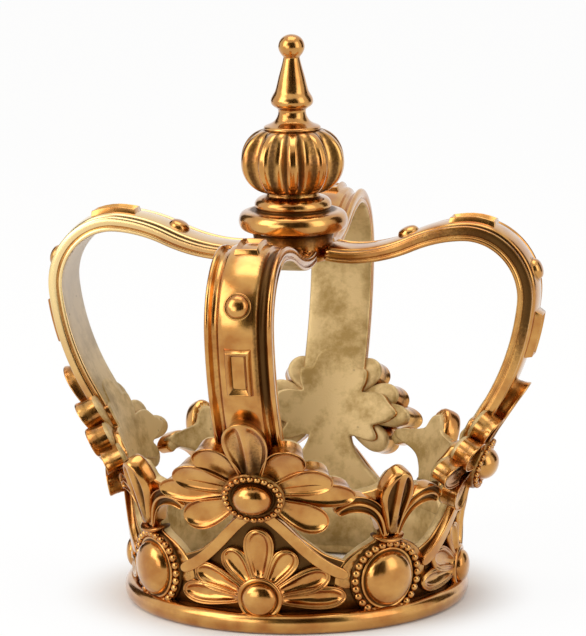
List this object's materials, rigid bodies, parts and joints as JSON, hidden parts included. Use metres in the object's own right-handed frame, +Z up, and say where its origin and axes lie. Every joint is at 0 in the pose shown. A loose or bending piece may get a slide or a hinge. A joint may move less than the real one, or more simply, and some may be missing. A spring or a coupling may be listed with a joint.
{
  "type": "decorative crown",
  "caption": "Cast gilded crown ornament: a pierced, flaring band of rosettes and fleurs carries moulded arches that meet under a ribbed finial; open underneath.",
  "frame": {"origin": "centre of the foot ring's underside, on the crown's axis", "axes": "+Z up the crown's axis to the ball of the finial, -Y towards the front arch, +X to the right-hand arch"},
  "size_m": [0.1872, 0.1872, 0.2094],
  "materials": {
    "gilt_resin": "cast resin with a polished antique gold finish outside and a matte gold finish inside"
  },
  "bodies": {
    "root": {"crown": "gilt_resin"}
  },
  "joints": []
}
